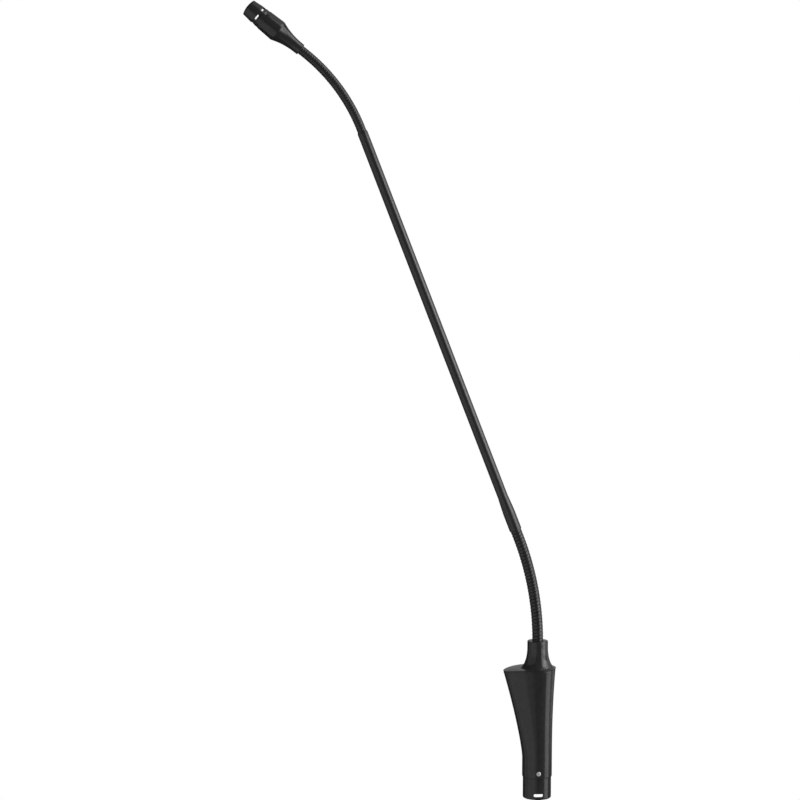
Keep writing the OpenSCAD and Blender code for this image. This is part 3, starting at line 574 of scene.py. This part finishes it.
head_lean = LOWER["bend"] + UPPER["bend"]
head_start = chain_point(first_upper, LOWER["bend"], UPPER, HINGES) + UPPER["tail"] * lean_dir(head_lean)
mouth_r = 3.88  # the trumpet's narrow end; from there its radius grows with a power of the distance
d = np.linspace(0.6, FLARE_END - 0.1, 30)
outline = [(NECK_HOLE_R, 0.1), (3.5, 0)] + round_corner((3.6, 0.3), 0.3, -90, 0, 4)
outline += list(zip(mouth_r + (HEAD_R - mouth_r) * (d / FLARE_END) ** 2.35, d))
outline += [(7.165, 19.1), (HEAD_R, 19.4), (HEAD_R, 20.3), (7.15, 20.9), (7.12, 21.6), (7.04, 23.6)]
outline += [(6.95, 26), (6.87, 28), (6.8, 30.0), (6.76, 30.3), (6.6, 30.95), (6.54, 31.1), (6.51, 31.3)]
outline += [(6.5, 31.9), (6.52, 32.5), (6.55, 33.1), (6.55, 33.4), (6.5, 33.6), (6.41, 33.69), (5.62, 33.69)]
outline += [(5.6, 21), (NECK_HOLE_R, 12)]
points, faces = turned(outline, head_start, head_lean)
mesh_piece("head_trumpet", points, faces, tube_enamel, "head", ["head_housing"])


# ---------------------------------------------------------------- studio
AIM = Vector((-0.08, 0, 0.28))  # the point the lamps face, in metres


def panel(name, around, up, distance, size, radiance):
    """A soft lamp that faces AIM, placed by its angles round the object and above it.

    around is measured in degrees from the camera's side, positive to the right. Its power is the
    radiance times pi times its area.
    """
    lamp = bpy.data.lights.new(name, "AREA")
    lamp.shape, lamp.size, lamp.size_y = "RECTANGLE", size[0], size[1]
    lamp.energy = radiance * np.pi * size[0] * size[1]
    obj = bpy.data.objects.new(name, lamp)
    bpy.context.collection.objects.link(obj)
    a, e = np.radians(around) + AZIMUTH, np.radians(up)
    out = Vector((np.sin(a) * np.cos(e), -np.cos(a) * np.cos(e), np.sin(e)))
    obj.location = AIM + distance * out
    obj.rotation_euler = (-out).to_track_quat("-Z", "Y").to_euler()


panel("large_dim_panel_left", -64.5, -10.4, 1.5, (3.2, 2.1), 0.3)
panel("low_panel_front_left", -39, -31.3, 1.5, (2.24, 1.65), 0.24)
panel("near_softbox_right", 64.5, 0, 0.7, (0.52, 0.66), 2.3)
panel("lower_panel_right", 80, -18, 2.0, (1.2, 0.85), 1.42)
panel("large_panel_upper_right", 80, 29.5, 2.6, (2.06, 2.35), 2.25)
panel("dim_panel_top_right", 107, 56, 2.2, (2.16, 1.66), 0.47)
panel("dim_panel_far_right", 118, 1.5, 0.8, (0.5, 0.92), 0.55)
panel("dim_panel_behind", 170, 12, 2.0, (1.6, 1.8), 0.35)

# The background's strength in reflections and on matt surfaces. It is dim there, so that the edges of
# the black enamel stay dark against the white.
IN_REFLECTIONS, ON_MATT_SURFACES = 0.03, 0.5


def background_strength(tree):
    """White to the camera and through glass, and dim in reflections and in the light on matt surfaces."""
    path = add(tree, "ShaderNodeLightPath")
    clear = add(tree, "ShaderNodeMath", {"operation": "MAXIMUM"}, i0=(path, "Is Camera Ray"),
                i1=(path, "Is Transmission Ray"))
    glossy = add(tree, "ShaderNodeMath", {"operation": "MULTIPLY", 1: IN_REFLECTIONS},
                 i0=(path, "Is Glossy Ray"))
    matt = add(tree, "ShaderNodeMath", {"operation": "MULTIPLY", 1: ON_MATT_SURFACES},
               i0=(path, "Is Diffuse Ray"))
    dim = add(tree, "ShaderNodeMath", {"operation": "MAXIMUM"}, i0=(glossy, 0), i1=(matt, 0))
    return add(tree, "ShaderNodeMath", {"operation": "MAXIMUM"}, i0=(clear, 0), i1=(dim, 0))


world = bpy.data.worlds.new("studio_white")
bpy.context.scene.world = world
world.use_nodes = True
tree = world.node_tree
tree.nodes.clear()
white = add(tree, "ShaderNodeBackground", {"Color": (1, 1, 1, 1)}, Strength=(background_strength(tree), 0))
add(tree, "ShaderNodeOutputWorld", Surface=(white, 0))

# The floor lies far below, where no view from the side or from below meets its edge.
FLOOR_Z, FLOOR_HALF = -4.0, 6.0
paint = bpy.data.materials.new("white_studio_floor")
paint.use_nodes = True
tree = paint.node_tree
tree.nodes.clear()
glow = add(tree, "ShaderNodeEmission", {"Color": (1, 1, 1, 1)}, Strength=(background_strength(tree), 0))
add(tree, "ShaderNodeOutputMaterial", Surface=(glow, 0))
mesh = bpy.data.meshes.new("floor")
corners = [(x * FLOOR_HALF, y * FLOOR_HALF, FLOOR_Z) for x, y in ((-1, -1), (1, -1), (1, 1), (-1, 1))]
mesh.from_pydata(corners, [], [(0, 1, 2, 3)])
mesh.materials.append(paint)
floor = bpy.data.objects.new("floor", mesh)
bpy.context.collection.objects.link(floor)
